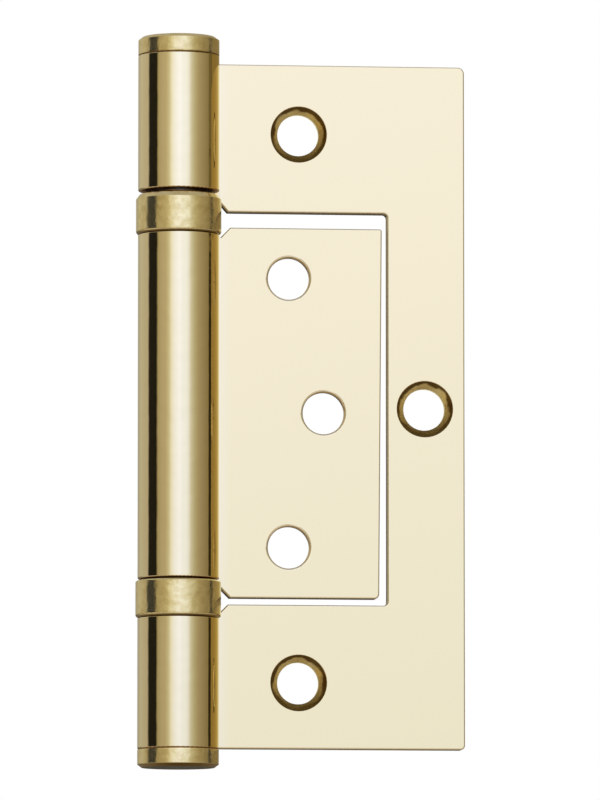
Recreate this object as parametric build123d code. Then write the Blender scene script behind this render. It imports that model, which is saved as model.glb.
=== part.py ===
from build123d import *
import os

# Non-mortise door hinge, closed, with its pin upright.
# All sizes are in millimetres. The pieces are built about the pin: X runs from the pin to the
# free edges of the leaves, Y runs from the faces you see to the jamb, and Z runs up the pin.
# They are then moved so that the origin is the middle of the frame leaf's screw pair, on the
# face that lies on the jamb.

# Sheet that both leaves are pressed and rolled from
sheet = 2.5
edge_round = 0.22
roll_seam = 0.15
roll_seat_depth = 0.05
roll_seat_margin = 0.05

# Barrel
bore_radius = 3.4
upper_knuckle_length = 19.83
lower_knuckle_length = 19.0
bearing_rim_round = 0.2
cap_rim_round = 0.15

# Frame leaf, screwed to the jamb
frame_height = 100.0
frame_reach = 42.23
frame_rise = 0.3
frame_top_corner_round = 0.95
frame_bottom_corner_round = 0.65
overhang_top = 0.63
overhang_bottom = 0.3
overhang_inset = 1.5

# Window in the frame leaf: the stile beside it, and the shoulders that its edges leave
# past the ends of the outer knuckles
stile_width = 11.3
upper_shoulder = 2.5
lower_shoulder = 2.25
window_corner_round = 0.6

# Door leaf, screwed to the edge of the door and folded into the window with these gaps round it
door_gap_above = 2.28
door_gap_below = 0.97
door_gap_side = 0.83
door_edge_lean = 0.42
door_top_corner_round = 0.3
door_bottom_corner_round = 0.7

# Necks, which run out at about 45 degrees from the knuckles and pass the bearing shells
neck_clearance = 0.15
door_upper_neck_clearance = 1.15
door_lower_neck_clearance = 0.3
frame_upper_neck_slope = 0.88

# Screw holes
hole_radius = 3.05
countersink_radius = 4.13
countersink_rim_round = 0.12
plain_rim_round = 0.35
frame_pair_inset = 9.9
frame_pair_reach = 17.9
frame_single_offset = 0.18
door_pair_inset = 7.4
door_pair_reach = 16.45
door_single_inset = 8.55

# Bearings
shell_step = 0.3
shell_wall = 0.6
shell_corner_round = 0.45
lower_shell_height = 5.35
upper_shell_height = 5.77
lower_bevel_reach = 0.2
lower_bevel_height = 0.2
upper_bevel_reach = 0.5
upper_bevel_height = 0.67
lip_overlap = 0.65
race_proud = 0.25
race_seat_clearance = 0.03
race_running_clearance = 0.1
axial_play = 0.3
ball_diameter = 1.5
ball_count = 12
ball_clearance = 0.02
groove_depth = 0.28
cage_height = 0.6
pocket_clearance = 0.05

# Pin and caps
pin_clearance = 0.05
pin_end_gap = 0.1
cap_height = 2.7
cap_bevel_height = 0.45
cap_bevel_reach = 0.6
cap_edge_round = 0.1
cap_seat_bevel = 0.12
spigot_length = 3.0
spigot_clearance = 0.03
end_bevel = 0.4

# Radii about the pin, and the two faces of the flat sheet
knuckle_radius = bore_radius + sheet
pin_radius = bore_radius - pin_clearance
shell_radius = knuckle_radius + shell_step
leaf_front = bore_radius
leaf_back = knuckle_radius
countersink_depth = countersink_radius - hole_radius

# Heights on the frame leaf
frame_top = frame_rise + frame_height / 2
frame_bottom = frame_rise - frame_height / 2
barrel_top = frame_top + overhang_top
barrel_bottom = frame_bottom - overhang_bottom
upper_knuckle_bottom = barrel_top - upper_knuckle_length
lower_knuckle_top = barrel_bottom + lower_knuckle_length
window_top = upper_knuckle_bottom - upper_shoulder
window_bottom = lower_knuckle_top + lower_shoulder

# Heights on the door leaf; its knuckle stands on the lower bearing and leaves the play at the top
middle_knuckle_bottom = lower_knuckle_top + lower_shell_height + race_proud
middle_knuckle_top = upper_knuckle_bottom - axial_play - upper_shell_height - race_proud
door_top = window_top - door_gap_above
door_bottom = window_bottom + door_gap_below
door_middle = (door_top + door_bottom) / 2

# Reaches from the pin
window_reach = frame_reach - stile_width
door_reach = window_reach - door_gap_side
shell_reach = (shell_radius**2 - leaf_front**2) ** 0.5
overhang_start = knuckle_radius - overhang_inset

# Screw places
frame_pair_height = frame_height / 2 - frame_pair_inset
frame_single_reach = (window_reach + frame_reach) / 2 - frame_single_offset
door_pair_height = (door_top - door_bottom) / 2 - door_pair_inset
door_single_reach = door_reach - door_single_inset

# Radii inside a bearing
shell_bore = shell_radius - shell_wall
lip_radius = shell_bore - lip_overlap
race_bore = pin_radius + race_running_clearance
ball_radius = ball_diameter / 2
ball_pitch_radius = (race_bore + shell_bore) / 2
race_gap = ball_diameter - 2 * groove_depth

tolerance = 1e-4


def near(point, x, z):
    return abs(point.X - x) < tolerance and abs(point.Y - z) < tolerance


def outline(points, rounded):
    """A closed outline in X and Z, with some of its corners rounded."""
    face = make_face(Polyline(points, close=True))
    for x, z, radius in rounded:
        corner = [v for v in face.vertices() if near(v, x, z)]
        face = fillet(corner, radius)
    return face


def flat_sheet(face):
    """The outline pressed out of the sheet, between the leaf's front and back faces."""
    return extrude(Plane.XZ.offset(-leaf_back) * face, sheet)


def roll_seat():
    """The shallow seat pressed into a leaf's front face, under the closing end of its roll."""
    reach = shell_radius + roll_seat_margin
    place = Pos(reach / 2, leaf_front + roll_seat_depth / 2, 0)
    return place * Box(reach, roll_seat_depth, 2 * frame_height)


def rolled_knuckle(bottom, top, bottom_round, top_round):
    """The sheet rolled once round the pin, its end closing on the leaf's front face."""
    length = top - bottom
    wide = 2 * knuckle_radius
    closed_at = bore_radius - roll_seam
    beyond_seam = Pos(wide / 2, closed_at + wide / 2) * Rectangle(wide, wide)
    roll = extrude(Circle(knuckle_radius) - Circle(bore_radius) - beyond_seam, length)
    barrel = Cylinder(knuckle_radius, length, align=(Align.CENTER, Align.CENTER, Align.MIN))
    rims = barrel.edges().filter_by(GeomType.CIRCLE).sort_by(Axis.Z)
    barrel = fillet(rims[0], bottom_round)
    rims = barrel.edges().filter_by(GeomType.CIRCLE).sort_by(Axis.Z)
    barrel = fillet(rims[-1], top_round)
    return Pos(0, 0, bottom) * (roll & barrel)


def screw_hole(x, z, sunk_face, outward):
    """The hole for one countersunk screw; outward is the way that the sunk face looks."""
    at_face = Plane(origin=(x, sunk_face, z), z_dir=(0, outward, 0))
    through = Cylinder(hole_radius, 4 * sheet)
    cone = Pos(0, 0, -countersink_depth / 2) * Cone(hole_radius, countersink_radius, countersink_depth)
    return at_face * (through + cone)


def face_edges(plate, y, from_x):
    """The straight and round edges that bound the face at y, beyond from_x."""
    found = []
    for edge in plate.edges():
        box = edge.bounding_box()
        on_face = abs(box.min.Y - y) < tolerance and abs(box.max.Y - y) < tolerance
        if on_face and box.min.X > from_x - tolerance:
            found.append(edge)
    return found


def is_rim(edge):
    """Whether an edge is the full circle of a screw hole."""
    return edge.geom_type == GeomType.CIRCLE and edge.is_closed


def softened(plate, sunk_face, from_x):
    """The pressed sheet with its edges and hole rims polished round."""
    for y in (leaf_front, leaf_back):
        rims = [edge for edge in face_edges(plate, y, from_x) if is_rim(edge)]
        rim_round = countersink_rim_round if y == sunk_face else plain_rim_round
        plate = fillet(rims, rim_round)
        sides = [edge for edge in face_edges(plate, y, from_x) if not is_rim(edge)]
        plate = fillet(sides, edge_round)
    return plate


def neck(knuckle_end, leaf_edge, clearance=neck_clearance, slope=1.0):
    """The two ends of a neck: at the knuckle, just clear of the shell, and at the leaf's edge."""
    start = shell_reach + clearance
    return (start, knuckle_end), (start + slope * abs(leaf_edge - knuckle_end), leaf_edge)


def make_frame_leaf():
    points = [
        (0, barrel_top),
        (overhang_start, barrel_top),
        (overhang_start + overhang_top, frame_top),
        (frame_reach, frame_top),
        (frame_reach, frame_bottom),
        (overhang_start + overhang_bottom, frame_bottom),
        (overhang_start, barrel_bottom),
        (0, barrel_bottom),
        (0, lower_knuckle_top),
        *neck(lower_knuckle_top, window_bottom),
        (window_reach, window_bottom),
        (window_reach, window_top),
        *reversed(neck(upper_knuckle_bottom, window_top, slope=frame_upper_neck_slope)),
        (0, upper_knuckle_bottom),
    ]
    rounded = [
        (frame_reach, frame_top, frame_top_corner_round),
        (frame_reach, frame_bottom, frame_bottom_corner_round),
        (window_reach, window_bottom, window_corner_round),
        (window_reach, window_top, window_corner_round),
    ]
    plate = flat_sheet(outline(points, rounded))
    for x, z in (
        (frame_pair_reach, frame_pair_height),
        (frame_pair_reach, -frame_pair_height),
        (frame_single_reach, 0),
    ):
        plate -= screw_hole(x, z, leaf_front, -1)
    plate = softened(plate, leaf_front, min(overhang_start, shell_reach)) - roll_seat()
    upper = rolled_knuckle(upper_knuckle_bottom, barrel_top, bearing_rim_round, cap_rim_round)
    lower = rolled_knuckle(barrel_bottom, lower_knuckle_top, cap_rim_round, bearing_rim_round)
    return plate + upper + lower


def make_door_leaf():
    points = [
        (0, middle_knuckle_top),
        *neck(middle_knuckle_top, door_top, door_upper_neck_clearance),
        (door_reach, door_top),
        (door_reach - door_edge_lean, door_bottom),
        *reversed(neck(middle_knuckle_bottom, door_bottom, door_lower_neck_clearance)),
        (0, middle_knuckle_bottom),
    ]
    rounded = [
        (door_reach, door_top, door_top_corner_round),
        (door_reach - door_edge_lean, door_bottom, door_bottom_corner_round),
    ]
    plate = flat_sheet(outline(points, rounded))
    for x, z in (
        (door_pair_reach, door_middle + door_pair_height),
        (door_pair_reach, door_middle - door_pair_height),
        (door_single_reach, door_middle),
    ):
        plate -= screw_hole(x, z, leaf_back, 1)
    plate = softened(plate, leaf_back, shell_reach) - roll_seat()
    middle = rolled_knuckle(
        middle_knuckle_bottom, middle_knuckle_top, bearing_rim_round, bearing_rim_round
    )
    return plate + middle


def turned(face):
    """A profile in radius and height, turned about the pin."""
    return revolve(Plane.XZ * face, Axis.Z)


def make_shell(height, bevel_reach, bevel_height):
    """A cup drawn from sheet, with its mouth spun in over the upper race."""
    lip_under = height - shell_wall
    face = make_face(
        Polyline(
            (race_bore, 0),
            (shell_radius, 0),
            (shell_radius, height - bevel_height),
            (shell_radius - bevel_reach, height),
            (lip_radius, height),
            (lip_radius, lip_under),
            (shell_bore, lip_under),
            (shell_bore, shell_wall),
            (race_bore, shell_wall),
            close=True,
        )
    )
    face = fillet([v for v in face.vertices() if near(v, shell_radius, 0)], shell_corner_round)
    return turned(face)


def ball_centre(height):
    """How high the balls run above the foot of a bearing's shell."""
    return (shell_wall + height + race_proud) / 2


def make_groove(height):
    """The track that the balls cut into both races."""
    return Pos(0, 0, ball_centre(height)) * Torus(ball_pitch_radius, ball_radius + ball_clearance)


def make_lower_race(height):
    top = ball_centre(height) - race_gap / 2
    outer = shell_bore - race_seat_clearance
    face = make_face(
        Polyline(
            (race_bore, shell_wall), (outer, shell_wall), (outer, top), (race_bore, top), close=True
        )
    )
    return turned(face) - make_groove(height)


def make_upper_race(height):
    """A flanged race, held in by the lip, with a neck that stands out of the shell."""
    bottom = ball_centre(height) + race_gap / 2
    flange_top = height - shell_wall - race_running_clearance
    flange = shell_bore - race_running_clearance
    neck = lip_radius - race_running_clearance
    top = height + race_proud
    face = make_face(
        Polyline(
            (race_bore, bottom),
            (flange, bottom),
            (flange, flange_top),
            (neck, flange_top),
            (neck, top),
            (race_bore, top),
            close=True,
        )
    )
    return turned(face) - make_groove(height)


def ball_places(height):
    return Pos(0, 0, ball_centre(height)) * PolarLocations(ball_pitch_radius, ball_count)


def make_balls(height):
    return Compound(children=[place * Sphere(ball_radius) for place in ball_places(height)])


def make_cage(height):
    """A flat washer with a pocket for each ball."""
    outer = Cylinder(shell_bore - race_running_clearance, cage_height)
    inner = Cylinder(race_bore + race_running_clearance, cage_height)
    cage = Pos(0, 0, ball_centre(height)) * (outer - inner)
    for place in ball_places(height):
        cage -= place * Cylinder(ball_radius + pocket_clearance, 2 * cage_height)
    return cage


def make_cap():
    """A pressed-in cap: a disc as wide as the barrel, above a spigot that fills the bore."""
    spigot = bore_radius - spigot_clearance
    bevel_start = cap_height - cap_bevel_height
    face = make_face(
        Polyline(
            (0, -spigot_length),
            (spigot, -spigot_length),
            (spigot, 0),
            (knuckle_radius, 0),
            (knuckle_radius, bevel_start),
            (knuckle_radius - cap_bevel_reach, cap_height),
            (0, cap_height),
            close=True,
        )
    )
    face = chamfer([v for v in face.vertices() if near(v, spigot, -spigot_length)], end_bevel)
    face = chamfer([v for v in face.vertices() if near(v, knuckle_radius, 0)], cap_seat_bevel)
    face = fillet([v for v in face.vertices() if near(v, knuckle_radius, bevel_start)], cap_edge_round)
    return turned(face)


def make_pin():
    bottom = barrel_bottom + spigot_length + pin_end_gap
    top = barrel_top - spigot_length - pin_end_gap
    pin = Cylinder(pin_radius, top - bottom, align=(Align.CENTER, Align.CENTER, Align.MIN))
    pin = chamfer(pin.edges().filter_by(GeomType.CIRCLE), end_bevel)
    return Pos(0, 0, bottom) * pin


def make_bearing(side, foot, height, bevel_reach, bevel_height):
    """The five pieces of one bearing, standing on a knuckle at the height foot."""
    pieces = {
        "shell": make_shell(height, bevel_reach, bevel_height),
        "lower_race": make_lower_race(height),
        "cage": make_cage(height),
        "balls": make_balls(height),
        "upper_race": make_upper_race(height),
    }
    return {f"{side}_bearing_{name}": Pos(0, 0, foot) * piece for name, piece in pieces.items()}


cap = make_cap()
parts = {
    "frame_leaf": make_frame_leaf(),
    "door_leaf": make_door_leaf(),
    "hinge_pin": make_pin(),
    "top_cap": Pos(0, 0, barrel_top) * cap,
    "bottom_cap": Pos(0, 0, barrel_bottom) * Rot(180, 0, 0) * cap,
}
parts.update(
    make_bearing("lower", lower_knuckle_top, lower_shell_height, lower_bevel_reach, lower_bevel_height)
)
parts.update(
    make_bearing("upper", middle_knuckle_top, upper_shell_height, upper_bevel_reach, upper_bevel_height)
)

home = Pos(-frame_pair_reach, -leaf_back, 0)
os.makedirs("parts", exist_ok=True)
for name, piece in parts.items():
    export_step(home * piece, f"parts/{name}.step")
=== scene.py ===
# %% [markdown]
# This scene dresses a closed non-mortise door hinge. The CAD model brings every solid: two
# leaves, a pin with two caps, and two ball bearings. Its pieces are already in place, in metres,
# with X towards the free edges of the leaves, Y into the jamb and Z up along the pin.
# The first step loads them and keeps the box that they fill.

# %% Load the frame
import math

import bpy
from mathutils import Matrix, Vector

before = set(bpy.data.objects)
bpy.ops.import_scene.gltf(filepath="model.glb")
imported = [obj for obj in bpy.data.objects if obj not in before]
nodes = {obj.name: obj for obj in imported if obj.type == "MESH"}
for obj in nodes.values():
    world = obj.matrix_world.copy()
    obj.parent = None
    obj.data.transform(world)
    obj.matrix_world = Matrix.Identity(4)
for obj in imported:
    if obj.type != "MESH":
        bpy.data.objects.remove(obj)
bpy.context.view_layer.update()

mm = 0.001
print("pieces", len(nodes))

# %% [markdown]
# The room and all the metals are built from shader nodes. Placing them by hand in the editor
# would do as well, but written down they can be read and changed like sums. A few helpers keep
# that short: each makes one node, feeds its sockets with numbers, colours or other nodes'
# outputs, and returns what comes out.

# %% Wire up shader nodes
def new_node(tree, kind, **settings):
    node = tree.nodes.new(kind)
    for name, value in settings.items():
        setattr(node, name, value)
    return node


def feed(tree, socket, value):
    """Gives a socket a number, a vector, a colour of three numbers, or another node's output."""
    if isinstance(value, bpy.types.NodeSocket):
        tree.links.new(value, socket)
    elif socket.type == "RGBA":
        socket.default_value = (*value, 1.0)
    else:
        socket.default_value = value


def math_node(tree, operation, *values, clamp=False):
    node = new_node(tree, "ShaderNodeMath", operation=operation, use_clamp=clamp)
    for socket, value in zip(node.inputs, values):
        feed(tree, socket, value)
    return node.outputs["Value"]


def vector_node(tree, operation, *values, output="Vector"):
    node = new_node(tree, "ShaderNodeVectorMath", operation=operation)
    for socket, value in zip(node.inputs, values):
        feed(tree, socket, value)
    return node.outputs[output]


def split(tree, vector):
    """The X, Y and Z of a vector."""
    node = new_node(tree, "ShaderNodeSeparateXYZ")
    feed(tree, node.inputs["Vector"], vector)
    return tuple(node.outputs)


print("helpers for sums and vectors")

# %% [markdown]
# Most finishes here are masks: a number from zero to one that says where something is. A Map
# Range node makes one from a distance or a direction, and a Mix node lays one colour over another
# by it. A colour ramp would do both at once, but then a mask could not serve two finishes.

# %% Make masks and lay colours over each other
def span(tree, value, low, high, to_low=0.0, to_high=1.0):
    """Maps a value from one range to another, held at both ends."""
    node = new_node(tree, "ShaderNodeMapRange", clamp=True)
    feed(tree, node.inputs["Value"], value)
    feed(tree, node.inputs["From Min"], low)
    feed(tree, node.inputs["From Max"], high)
    feed(tree, node.inputs["To Min"], to_low)
    feed(tree, node.inputs["To Max"], to_high)
    return node.outputs["Result"]


def blend_colours(tree, factor, first, second):
    """The first colour where the factor is zero and the second where it is one."""
    node = new_node(tree, "ShaderNodeMix", data_type="RGBA")
    feed(tree, node.inputs["Factor"], factor)
    feed(tree, node.inputs[6], first)
    feed(tree, node.inputs[7], second)
    return node.outputs[2]


print("helpers for spans and colours")

# %% [markdown]
# The photograph is taken from slightly left of the hinge and slightly below its middle, from
# far away through a long lens, so the upright edges stay parallel. An orthographic camera would
# keep them exactly so, but a real lens shows the caps and rings at a slightly different angle at
# each height. The price is small: the leaf's free edge leans by about a pixel, and its upper edge
# slopes by about a degree against the photograph. The lower edge agrees.

# %% Place the camera
view_left = 6.0
view_below = 5.4
back = Vector((
    -math.sin(math.radians(view_left)) * math.cos(math.radians(view_below)),
    -math.cos(math.radians(view_left)) * math.cos(math.radians(view_below)),
    -math.sin(math.radians(view_below)),
))
distance = 1294 * mm
aim = Vector((0.13 * mm, -3.0 * mm, 1.12 * mm))

lens = bpy.data.cameras.new("camera")
lens.lens = 400.0
lens.sensor_width = 36.0
lens.clip_start = 0.05
lens.clip_end = 10.0
camera = bpy.data.objects.new("camera", lens)
bpy.context.scene.collection.objects.link(camera)
camera.location = aim + back * distance
camera.rotation_mode = "QUATERNION"
camera.rotation_quaternion = (-back).to_track_quat("-Z", "Y")
bpy.context.scene.camera = camera
print("mm across the picture's height", round(distance / mm * lens.sensor_width / lens.lens, 1))

# %% [markdown]
# The photograph is plain white round the hinge, and this floor lies too far down to be in the
# picture, but views from above show it. Shiny surfaces don't see it, because the room that the
# next cells draw has a floor of its own for them.

# %% Lay the floor
floor_level = -0.8
half = 6.0
corners = [
    (-half, -half, floor_level),
    (half, -half, floor_level),
    (half, half, floor_level),
    (-half, half, floor_level),
]
floor_mesh = bpy.data.meshes.new("floor")
floor_mesh.from_pydata(corners, [], [(0, 1, 2, 3)])
floor = bpy.data.objects.new("floor", floor_mesh)
bpy.context.scene.collection.objects.link(floor)
floor.visible_glossy = False

floor_paint = bpy.data.materials.new("pale floor")
floor_paint.use_nodes = True
floor_shader = floor_paint.node_tree.nodes["Principled BSDF"]
floor_shader.inputs["Base Color"].default_value = (0.9, 0.9, 0.9, 1.0)
floor_shader.inputs["Roughness"].default_value = 0.8
floor_mesh.materials.append(floor_paint)
print("floor", 2 * half, "m wide, at", floor_level, "m")

# %% [markdown]
# The hinge is mirror bright, so what it reflects matters more than what lights it. Real walls
# and lamps would work, but their reflections are hard to steer on a barrel 12 mm across. So the
# world draws the room by direction instead: the heading round the hinge, and the height over
# eye level.

# %% Give the room its directions
world = bpy.data.worlds.new("studio")
bpy.context.scene.world = world
world.use_nodes = True
room = world.node_tree
room.nodes.clear()
direction = new_node(room, "ShaderNodeTexCoord").outputs["Generated"]
towards_x, towards_y, towards_z = split(room, direction)
heading = math_node(room, "ARCTAN2", towards_x, math_node(room, "MULTIPLY", towards_y, -1.0))
height = math_node(room, "ARCSINE", towards_z)


def by_degrees(value, low, high, to_low=0.0, to_high=1.0):
    """A span whose range is in degrees."""
    return span(room, value, math.radians(low), math.radians(high), to_low, to_high)


def colours_along(value, low, high, colours):
    """A colour ramp over a range in degrees; its stops are a dictionary of places and colours."""
    node = new_node(room, "ShaderNodeValToRGB")
    stops = node.color_ramp.elements
    for count, (place, colour) in enumerate(colours.items()):
        position = (place - low) / (high - low)
        if count == 0:
            stop = stops[0]
        elif count == len(colours) - 1:
            stop = stops[-1]
        else:
            stop = stops.new(position)
        stop.position = position
        stop.color = (*colour, 1.0)
    feed(room, node.inputs["Fac"], by_degrees(value, low, high))
    return node.outputs["Color"]


print("nodes for the directions", len(room.nodes))

# %% [markdown]
# Polished metal shows a room in bands: here a white wall in front, warm grey walls at the sides
# and a dim one behind. The headings run in degrees from the camera's side (-Y), with plus towards
# the leaves' free edges (+X). The steps in the ramp are the edges of the bands on the barrel.

# %% Paint the walls
walls_by_heading = {
    -180: (0.40, 0.36, 0.26),
    -150: (0.48, 0.44, 0.32),
    -140: (0.55, 0.50, 0.35),
    -103: (0.50, 0.43, 0.29),
    -65: (0.42, 0.34, 0.16),
    -54: (0.48, 0.40, 0.23),
    -42: (0.52, 0.43, 0.24),
    -33: (0.64, 0.58, 0.36),
    -25: (0.92, 0.88, 0.74),
    -17: (0.98, 1.00, 1.04),
    -2: (1.07, 1.11, 1.28),
    6: (1.01, 1.045, 1.17),
    16: (0.98, 1.03, 1.10),
    23: (0.92, 0.93, 0.95),
    32: (0.65, 0.62, 0.47),
    42: (0.51, 0.45, 0.27),
    53: (0.41, 0.335, 0.18),
    63: (0.355, 0.285, 0.15),
    84: (0.27, 0.21, 0.093),
    104: (0.23, 0.175, 0.075),
    131: (0.25, 0.18, 0.065),
    150: (0.28, 0.21, 0.10),
    166: (0.38, 0.33, 0.22),
    180: (0.40, 0.36, 0.26),
}
bands = colours_along(heading, -180, 180, walls_by_heading)
print("bands", len(walls_by_heading))

# %% [markdown]
# The dark stripe on the left of the barrel is a black panel beside the hinge, such as
# photographers use to give a mirror an outline. The dark one on the right is a doorway, which is
# fainter above its lintel. They could be stops in the ramp of the walls, but then neither could
# change with height. The walls also darken a little towards eye level.

# %% Hang a black panel and open a doorway
def outside_panel(middle, half_width, low, high, blur):
    """Zero on a part of the walls and one outside it; its place and size are in degrees."""
    across = math_node(room, "ABSOLUTE", math_node(room, "SUBTRACT", heading, math.radians(middle)))
    beside = by_degrees(across, half_width, half_width + blur)
    above = by_degrees(height, high, high + blur)
    below = by_degrees(height, low, low - blur)
    return math_node(room, "MAXIMUM", beside, math_node(room, "MAXIMUM", above, below))


panel = outside_panel(middle=-84, half_width=13, low=-1.5, high=24, blur=6)
panel_shade = span(room, panel, 0.0, 1.0, 0.035, 1.0)
doorway = outside_panel(middle=97, half_width=6, low=-30, high=60, blur=1.5)
lintel = by_degrees(height, 6.2, 6.8, 0.0, 0.55)
doorway_shade = span(room, math_node(room, "MAXIMUM", doorway, lintel), 0.0, 1.0, 0.12, 1.0)
eye_level_shade = by_degrees(height, 1.0, 9.0, 0.86, 1.02)
dimmed = math_node(room, "MULTIPLY", panel_shade, doorway_shade)
shade = math_node(room, "MULTIPLY", eye_level_shade, dimmed)
shaded = new_node(room, "ShaderNodeVectorMath", operation="SCALE")
feed(room, shaded.inputs[0], bands)
feed(room, shaded.inputs["Scale"], shade)
walls = shaded.outputs["Vector"]
print("nodes for the walls", len(room.nodes))

# %% [markdown]
# Just below eye level the walls fall through gold and brown into the dark, so an edge that looks
# down reads as a dark line with a warm rim. The whole lower room could be dark, but then the flat
# faces would turn black in every view from above, so the dark is only a narrow belt. Behind the
# hinge it comes at once, without the gold.

# %% Let the foot of the walls go dark
skirting = {
    -10: (0.16, 0.07, 0.025),
    -7.5: (0.25, 0.10, 0.03),
    -5.5: (0.62, 0.34, 0.08),
    -3: (0.98, 0.82, 0.42),
    0: (1.0, 1.0, 1.0),
}
in_front = colours_along(height, -10, 0, skirting)
behind = by_degrees(height, -2.2, 0.5, 0.16, 1.0)
turned_away = by_degrees(math_node(room, "ABSOLUTE", heading), 115, 145)
drop = blend_colours(room, turned_away, in_front, behind)
lower_walls = vector_node(room, "MULTIPLY", walls, drop)
print("stops in the skirting", len(skirting))

# %% [markdown]
# Then comes the pale floor. It takes some of the walls' colour, as a real floor does, and lies in
# shade straight below the hinge, more so behind it. A real floor near by would show such a shadow
# by itself, but it would also be in the picture.

# %% Draw the floor that the metal sees
floor_share = (0.45, 0.45, 0.42)
floor_base = (0.44, 0.41, 0.34)
shade_in_front = (0.46, 0.37, 0.22)
shade_behind = (0.20, 0.14, 0.08)
floor_tint = vector_node(room, "MULTIPLY_ADD", bands, floor_share, floor_base)
under_hinge = blend_colours(room, turned_away, shade_in_front, shade_behind)
near_hinge = by_degrees(height, -62, -68)
ground = blend_colours(room, near_hinge, floor_tint, under_hinge)
below_walls = blend_colours(room, by_degrees(height, -9, -12.5), lower_walls, ground)
print("floor tint", floor_base)

# %% [markdown]
# A cone turned at 45 degrees throws light straight back to where it came from, so a countersink
# reflects what stands by the lens, which in a studio is the dark stand of the camera. One patch
# of the world does for it. The patch is small and cut off below eye level, because a taller one
# shows as a dark line on the barrel when the hinge is open.

# %% Stand the camera on something dark
stand_colour = (0.06, 0.038, 0.012)
dark_within = 3.3
clear_beyond = 4.6
at_lens = vector_node(room, "DOT_PRODUCT", direction, back, output="Value")
beside_stand = span(room, at_lens, math.cos(math.radians(dark_within)),
                    math.cos(math.radians(clear_beyond)))
above_stand = by_degrees(height, -4.6, -3.6)
off_stand = math_node(room, "MAXIMUM", beside_stand, above_stand)
with_stand = blend_colours(room, off_stand, stand_colour, below_walls)
print("stand within", dark_within, "degrees of the lens")

# %% [markdown]
# A warm grey ceiling closes the room for surfaces that look up, such as the top cap. A Light Path
# node then shows the room to glossy rays only. The camera, and the floor, see plain white, as
# round the hinge in the photograph. A white sheet behind the hinge could give that too, but the
# brass would mirror it.

# %% Close the room
ceiling_grey = (0.45, 0.41, 0.33)
plain_white = (1.0, 1.0, 1.0)
whole_room = blend_colours(room, by_degrees(height, 30, 60), with_stand, ceiling_grey)
glossy = new_node(room, "ShaderNodeLightPath").outputs["Is Glossy Ray"]
background = new_node(room, "ShaderNodeBackground")
feed(room, background.inputs["Color"], blend_colours(room, glossy, plain_white, whole_room))
background.inputs["Strength"].default_value = 1.0
output = new_node(room, "ShaderNodeOutputWorld")
room.links.new(background.outputs["Background"], output.inputs["Surface"])
print("nodes in the room", len(room.nodes))

# %% [markdown]
# Metals are built in the same way: a Principled shader, fed by noise and by where a point lies on
# the piece. Object coordinates are metres from the hinge's own origin here, so a mask can use the
# real sizes of the hinge. That ties the finish to the piece, wherever it swings.

# %% Start a metal
pin_x = -17.9 * mm
pin_y = -5.9 * mm
front_y = -2.5 * mm


def start_material(name):
    material = bpy.data.materials.new(name)
    material.use_nodes = True
    tree = material.node_tree
    shader = tree.nodes["Principled BSDF"]
    place = new_node(tree, "ShaderNodeTexCoord").outputs["Object"]
    return material, tree, shader, place


def noise(tree, place, size, detail=2.0):
    """Noise whose blotches are about size metres across."""
    node = new_node(tree, "ShaderNodeTexNoise")
    feed(tree, node.inputs["Vector"], place)
    feed(tree, node.inputs["Scale"], 1.0 / size)
    feed(tree, node.inputs["Detail"], detail)
    return node.outputs["Fac"]


def bump(tree, heights, depth, strength=1.0):
    """A Bump node, its depth in metres. Returns its normal."""
    node = new_node(tree, "ShaderNodeBump")
    feed(tree, node.inputs["Distance"], depth)
    feed(tree, node.inputs["Strength"], strength)
    feed(tree, node.inputs["Height"], heights)
    return node.outputs["Normal"]


def upright_normal(tree):
    """How far a face looks up: one for a top, minus one for an underside."""
    return split(tree, new_node(tree, "ShaderNodeTexCoord").outputs["Normal"])[2]


print("pin at", round(pin_x / mm, 1), round(pin_y / mm, 1), "mm")

# %% [markdown]
# Each leaf is one sheet, pressed out, rolled at one side, buffed and plated. Four kinds of
# surface come of that: buffed knuckles, flatter plates, the dull walls that the press cut, and
# countersinks. They could be four materials, but the CAD piece is one solid with one slot, and
# masks blend where a hard edge between slots would show. This cell finds those places.

# %% Find the parts of a leaf
polished_brass, brass, shader, place = start_material("polished brass")
across, depth, up = split(brass, place)
root = pin_x + 5.95 * mm
plate = span(brass, across, root, root + 0.4 * mm)
from_middle = math_node(brass, "ABSOLUTE", math_node(brass, "SUBTRACT", depth, front_y / 2))
wall = math_node(brass, "MULTIPLY", plate, span(brass, from_middle, 1.12 * mm, 1.02 * mm))
edge = math_node(brass, "MULTIPLY", plate, span(brass, from_middle, 1.249 * mm, 1.22 * mm))
looks_up = upright_normal(brass)
level = span(brass, math_node(brass, "ABSOLUTE", looks_up), 0.8, 0.95)
knuckle_end = math_node(brass, "SUBTRACT", level, plate, clamp=True)
downward = span(brass, looks_up, -0.2, -0.6)
print("a leaf leaves its knuckle at x", round(root / mm, 2), "mm")

# %% [markdown]
# The buffed faces are pale gold, a little warmer low on the plates. The flank of each knuckle
# towards its leaf is painted a deeper orange gold, a painted reflection of the leaf, and the ends
# of the knuckles, beside the bearings, are painted brown as painted shade. The walls that the
# press cut are a darker gold, and the rims between wall and face are painted a paler grey, a
# painted highlight on their rounding. Paint on an image would need a map of the whole leaf, while
# a mask for each place needs only its sizes.

# %% Tint the buffed faces and the walls
patchy = span(brass, noise(brass, place, 9 * mm, 3.0), 0.35, 0.7)
buffed = blend_colours(brass, patchy, (0.93, 0.85, 0.65), (0.92, 0.835, 0.62))
low_down = span(brass, up, -45 * mm, 45 * mm, 1.0, 0.0)
plated = blend_colours(brass, low_down, (0.932, 0.826, 0.585), (0.918, 0.822, 0.545))
colour = blend_colours(brass, span(brass, across, root, pin_x + 8.0 * mm), buffed, plated)

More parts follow.
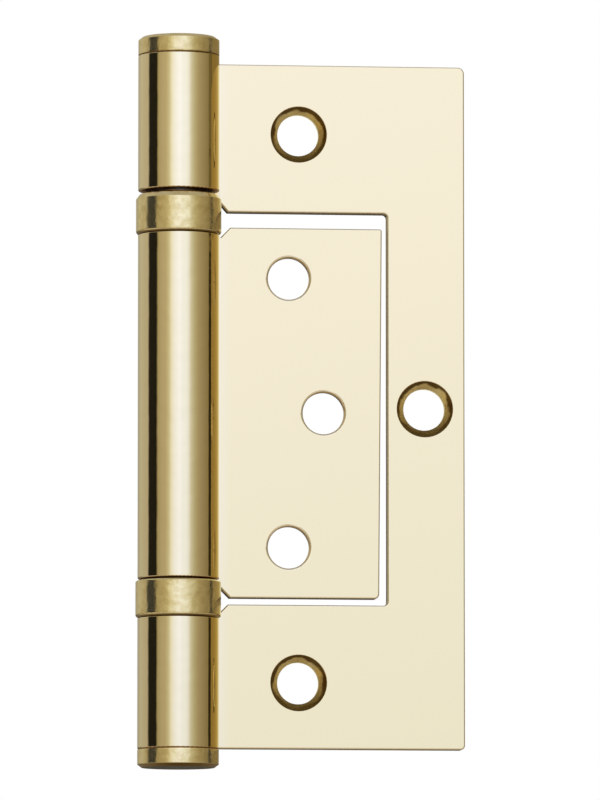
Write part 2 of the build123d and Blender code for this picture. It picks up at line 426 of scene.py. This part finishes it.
flank = span(brass, across, pin_x + 3.7 * mm, pin_x + 4.5 * mm)
in_corner = span(brass, depth, front_y + 0.6 * mm, front_y)
off_plate = math_node(brass, "SUBTRACT", flank, plate, clamp=True)
painted_leaf_reflection = math_node(brass, "MULTIPLY", off_plate, in_corner)
tints = (
    # painted reflection of the leaf on the knuckles' flank
    (painted_leaf_reflection, (0.95, 0.76, 0.34)),
    # painted shade on the knuckle ends beside the bearings
    (knuckle_end, (0.55, 0.30, 0.12)),
    # painted highlight on the rounded rims
    (edge, (0.88, 0.84, 0.76)),
    (wall, (0.78, 0.60, 0.30)),
)
for mask, tint in tints:
    colour = blend_colours(brass, mask, colour, tint)
print("tints laid over the buffed faces", len(tints))

# %% [markdown]
# Screw holes are round in X and Z, so the distance to the nearest middle tells whether a point
# is close to one. Each leaf has three holes, and one helper serves both leaves. Cutting those
# faces loose in the mesh would mark them too, but a CAD mesh is left as it is.

# %% Find the screw holes
frame_holes = ((0.0, 40.1 * mm), (18.5 * mm, 0.0), (0.0, -40.1 * mm))
door_holes = ((-1.45 * mm, 18.92 * mm), (3.65 * mm, -0.73 * mm), (-1.45 * mm, -20.38 * mm))
hole_reach = 4.3 * mm


def near_holes(places):
    """One within reach of the holes, falling to zero over the last tenth of a millimetre."""
    nearest = None
    for x, z in places:
        offset = new_node(brass, "ShaderNodeCombineXYZ")
        feed(brass, offset.inputs["X"], math_node(brass, "SUBTRACT", across, x))
        feed(brass, offset.inputs["Z"], math_node(brass, "SUBTRACT", up, z))
        away = vector_node(brass, "LENGTH", offset.outputs["Vector"], output="Value")
        nearest = away if nearest is None else math_node(brass, "MINIMUM", nearest, away)
    return span(brass, nearest, hole_reach - 0.1 * mm, hole_reach, 1.0, 0.0)


print("holes", len(frame_holes) + len(door_holes))

# %% [markdown]
# A press shears the first half of the sheet cleanly and tears the rest. So the walls of the window
# and round the small leaf are burnished in front and rough in their back half, which is also
# painted almost black as painted shade in the narrow gap. Real tears would need far more faces,
# and in a gap this narrow only their darkness shows. The holes of the small leaf are machined, so
# they are left out.

# %% Tear and shade the back half of the pressed walls
window_right = 13.1 * mm
back_half = span(brass, depth, front_y * 0.5, front_y * 0.4)
inside = span(brass, across, window_right, window_right + 0.4 * mm, 1.0, 0.0)
between = span(brass, math_node(brass, "ABSOLUTE", up), 32 * mm, 33 * mm, 1.0, 0.0)
pierced = math_node(brass, "MULTIPLY", edge, math_node(brass, "MULTIPLY", inside, between))
undrilled = math_node(brass, "SUBTRACT", back_half, near_holes(door_holes), clamp=True)
torn_and_shaded = math_node(brass, "MULTIPLY", pierced, undrilled)
# painted shade: the back half of the pressed walls is painted almost black
colour = blend_colours(brass, torn_and_shaded, colour, (0.05, 0.03, 0.012))
print("torn walls inside x", round(window_right / mm, 1), "mm")

# %% [markdown]
# The countersinks are turned: gold inside, with a dark uneven ring at their outer edge. They are
# darker in their lower half. The Wrap operation folds the heights of the three holes onto one,
# because they are evenly spaced, so one mask serves them all. The straight land behind each cone
# is pale and matt.

# %% Turn the countersinks
hole_spacing = 40.1 * mm
sunk = math_node(brass, "MULTIPLY", near_holes(frame_holes), edge)
uneven = span(brass, noise(brass, place, 2.2 * mm), 0.3, 0.7, -0.25 * mm, 0.25 * mm)
turned = span(brass, math_node(brass, "ADD", depth, uneven), -2.10 * mm, -1.85 * mm)
cone = blend_colours(brass, turned, (0.15, 0.092, 0.03), (0.82, 0.69, 0.39))
above_hole = math_node(brass, "WRAP", up, hole_spacing / 2, -hole_spacing / 2)
# darker towards the bottom of each countersink
darker_below = span(brass, above_hole, 0.5 * mm, -3.2 * mm, 0.0, 0.9)
cone = blend_colours(brass, darker_below, cone, (0.16, 0.11, 0.035))
land = span(brass, depth, -1.38 * mm, -1.3 * mm)
cone = blend_colours(brass, land, cone, (0.99, 0.92, 0.62))
print("countersinks", len(frame_holes))

# %% [markdown]
# What faces down is darkened with painted shade, most of all under the knuckles. It multiplies
# the colour instead of replacing it, so the masks underneath still show. The countersinks have
# their own darkening and are laid over it.

# %% Paint shade underneath
unshaded = (1.0, 1.0, 1.0)
# painted shade under faces that look down, deepest under the knuckles
shade_under_knuckles = (0.38, 0.25, 0.13)
shade_under_plates = (0.66, 0.54, 0.38)
deepest_shade = blend_colours(brass, plate, shade_under_knuckles, shade_under_plates)
colour = vector_node(brass, "MULTIPLY", colour, blend_colours(brass, downward, unshaded, deepest_shade))
colour = blend_colours(brass, sunk, colour, cone)
feed(brass, shader.inputs["Base Color"], colour)
shader.inputs["Metallic"].default_value = 1.0
# the value printed is the painted shade under the plates
print("tarnish under the plates", shade_under_plates)

# %% [markdown]
# Polished brass is never quite flat. Rolling and buffing leave a faint ripple in the knuckles,
# which bends the edges of the reflected bands, while the plates and the flat back are ground
# flatter. Geometry could carry the ripple, but a Bump node bends the light as well, and its
# strength can fade out along the leaf.

# %% Gloss and ripple the polished brass
grain_size = 0.25 * mm
grain = span(brass, noise(brass, place, grain_size), 0.3, 0.7, 0.02, 0.05)
dull = math_node(brass, "MAXIMUM", edge, knuckle_end)
duller = math_node(brass, "MULTIPLY", dull, span(brass, wall, 0.0, 1.0, 0.4, 0.16))
matt = math_node(brass, "MULTIPLY", sunk, span(brass, land, 0.0, 1.0, 0.3, 0.9))
rough = grain
for dullness in (duller, matt, torn_and_shaded):
    rough = math_node(brass, "MAXIMUM", rough, dullness)
feed(brass, shader.inputs["Roughness"], rough)

ripple_size = 2.6 * mm
ripple_depth = 0.02 * mm
ripple = noise(brass, place, ripple_size, 1.0)
flat = math_node(brass, "MAXIMUM", plate, span(brass, depth, -0.2 * mm, -0.05 * mm))
strength = span(brass, flat, 0.0, 1.0, 1.0, 0.03)
feed(brass, shader.inputs["Normal"], bump(brass, ripple, ripple_depth, strength))
print("nodes in the polished brass", len(brass.nodes))

# %% [markdown]
# The caps and the bearing shells are turned and not buffed, so they are satin: small dents,
# blotches, and a duller mirror. Metallic is a little under one, which adds a trace of plain
# colour and so lifts the darkest reflections. Bevels that look down are painted brown as painted
# shade and are rougher, and flat undersides are painted nearly black as painted shade.

# %% Mix the satin brass
satin_brass, satin, shader, place = start_material("satin brass")
blotch_size = 1.1 * mm
blotch = span(satin, noise(satin, place, blotch_size, 4.0), 0.35, 0.68)
colour = blend_colours(satin, blotch, (0.91, 0.81, 0.52), (0.78, 0.66, 0.36))
looks_up = upright_normal(satin)
downward = span(satin, looks_up, -0.2, -0.6)
underside = span(satin, looks_up, -0.85, -0.98)
# painted shade: brown on bevels that look down, nearly black on undersides
painted_shade = blend_colours(satin, downward, unshaded, (0.22, 0.15, 0.07))
painted_shade = blend_colours(satin, underside, painted_shade, (0.10, 0.055, 0.018))
feed(satin, shader.inputs["Base Color"], vector_node(satin, "MULTIPLY", colour, painted_shade))
shader.inputs["Metallic"].default_value = 0.97

bevelled = math_node(satin, "SUBTRACT", downward, underside)
rough = math_node(satin, "MAXIMUM", span(satin, blotch, 0.0, 1.0, 0.12, 0.2),
                  math_node(satin, "MULTIPLY", bevelled, 0.45))
feed(satin, shader.inputs["Roughness"], rough)
print("blotches of", round(blotch_size / mm, 1), "mm")

# %% [markdown]
# The mouths of the caps are eased, so their last third of a millimetre curls in towards the
# knuckle. A fillet in the CAD model could do it, but a curl of a few hundredths of a millimetre
# shows only in the reflection, and a bump that falls off as a parabola is enough. It shares one
# Bump node with the dents.

# %% Dent the satin brass and ease the caps' mouths
top_mouth = 50.93 * mm
bottom_mouth = -50.0 * mm
lip = 0.35 * mm
dent_size = 1.4 * mm
dent_height = 0.05
curl_height = 0.04


def curl(height_up, mouth, end):
    """One at a cap's mouth, falling to zero at the end of its lip along a parabola."""
    left = span(satin, height_up, mouth, end, 1.0, 0.0)
    return math_node(satin, "MULTIPLY", left, left)


up = split(satin, place)[2]
dents = math_node(satin, "MULTIPLY", noise(satin, place, dent_size, 2.5), dent_height)
eased = math_node(satin, "ADD", curl(up, top_mouth, top_mouth + lip),
                  curl(up, bottom_mouth, bottom_mouth - lip))
curled = math_node(satin, "MULTIPLY", eased, curl_height)
heights = math_node(satin, "SUBTRACT", dents, curled)
feed(satin, shader.inputs["Normal"], bump(satin, heights, 1.0 * mm))
print("nodes in the satin brass", len(satin.nodes))

# %% [markdown]
# The pin, races, balls and cages are ground or stamped, with fine marks that run round the pin.
# Fine grooves could be modelled, but noise squeezed along Z gives such marks at no cost in faces.
# The upper races stand a little out of their shells, in the recess where knuckle meets shell, so
# a mask by the distance from the pin paints brown shade on their rims.

# %% Grind the inner pieces
mark_size = 0.5 * mm
mark_depth = 0.001 * mm
squeezed_up = (1.0, 1.0, 12.0)
rim_radius = 4.55 * mm


def make_ground_metal(name, colour, roughness, rim_shade=None):
    """Metal with fine marks round the pin. The last argument is the colour of painted shade on rims
    far from the pin.
    """
    material, tree, shader, place = start_material(name)
    mapping = new_node(tree, "ShaderNodeMapping")
    feed(tree, mapping.inputs["Vector"], place)
    feed(tree, mapping.inputs["Scale"], squeezed_up)
    marks = noise(tree, mapping.outputs["Vector"], mark_size, 3.0)
    shown = blend_colours(tree, marks, colour, tuple(0.9 * value for value in colour))
    rough = span(tree, marks, 0.3, 0.7, roughness, roughness + 0.1)
    if rim_shade is not None:
        from_pin = vector_node(tree, "SUBTRACT", place, (pin_x, pin_y, 0.0))
        level = vector_node(tree, "MULTIPLY", from_pin, (1.0, 1.0, 0.0))
        radius = vector_node(tree, "LENGTH", level, output="Value")
        rim = span(tree, radius, rim_radius, rim_radius + 0.15 * mm)
        # painted shade: brown rims on the races, in the recess between knuckle and shell
        shown = blend_colours(tree, rim, shown, rim_shade)
        rough = math_node(tree, "MAXIMUM", rough, math_node(tree, "MULTIPLY", rim, 0.6))
    feed(tree, shader.inputs["Base Color"], shown)
    shader.inputs["Metallic"].default_value = 1.0
    feed(tree, shader.inputs["Roughness"], rough)
    feed(tree, shader.inputs["Normal"], bump(tree, marks, mark_depth))
    return material


pin_steel = make_ground_metal("pin steel", (0.55, 0.55, 0.56), 0.22)
race_steel = make_ground_metal("race steel", (0.60, 0.60, 0.61), 0.3, rim_shade=(0.13, 0.065, 0.02))
ball_steel = make_ground_metal("ball steel", (0.62, 0.62, 0.64), 0.08)
cage_brass = make_ground_metal("cage brass", (0.72, 0.58, 0.30), 0.3)
ground_metals = (pin_steel, race_steel, ball_steel, cage_brass)
print("ground metals", len(ground_metals))

# %% [markdown]
# Each CAD piece already has a material slot, so dressing it means putting a new material in the
# slot. The meshes stay as they are.

# %% Dress the pieces
dress = {
    "frame_leaf": polished_brass,
    "door_leaf": polished_brass,
    "hinge_pin": pin_steel,
    "top_cap": satin_brass,
    "bottom_cap": satin_brass,
}
for side in ("lower", "upper"):
    dress[f"{side}_bearing_shell"] = satin_brass
    dress[f"{side}_bearing_cage"] = cage_brass
    dress[f"{side}_bearing_balls"] = ball_steel
    dress[f"{side}_bearing_lower_race"] = race_steel
    dress[f"{side}_bearing_upper_race"] = race_steel
for name, material in dress.items():
    for material_slot in nodes[name].material_slots:
        material_slot.material = material
print("dressed", len(dress), "pieces in", len(set(dress.values())), "materials")

# %% Finish
bpy.context.scene.view_settings.view_transform = "Standard"
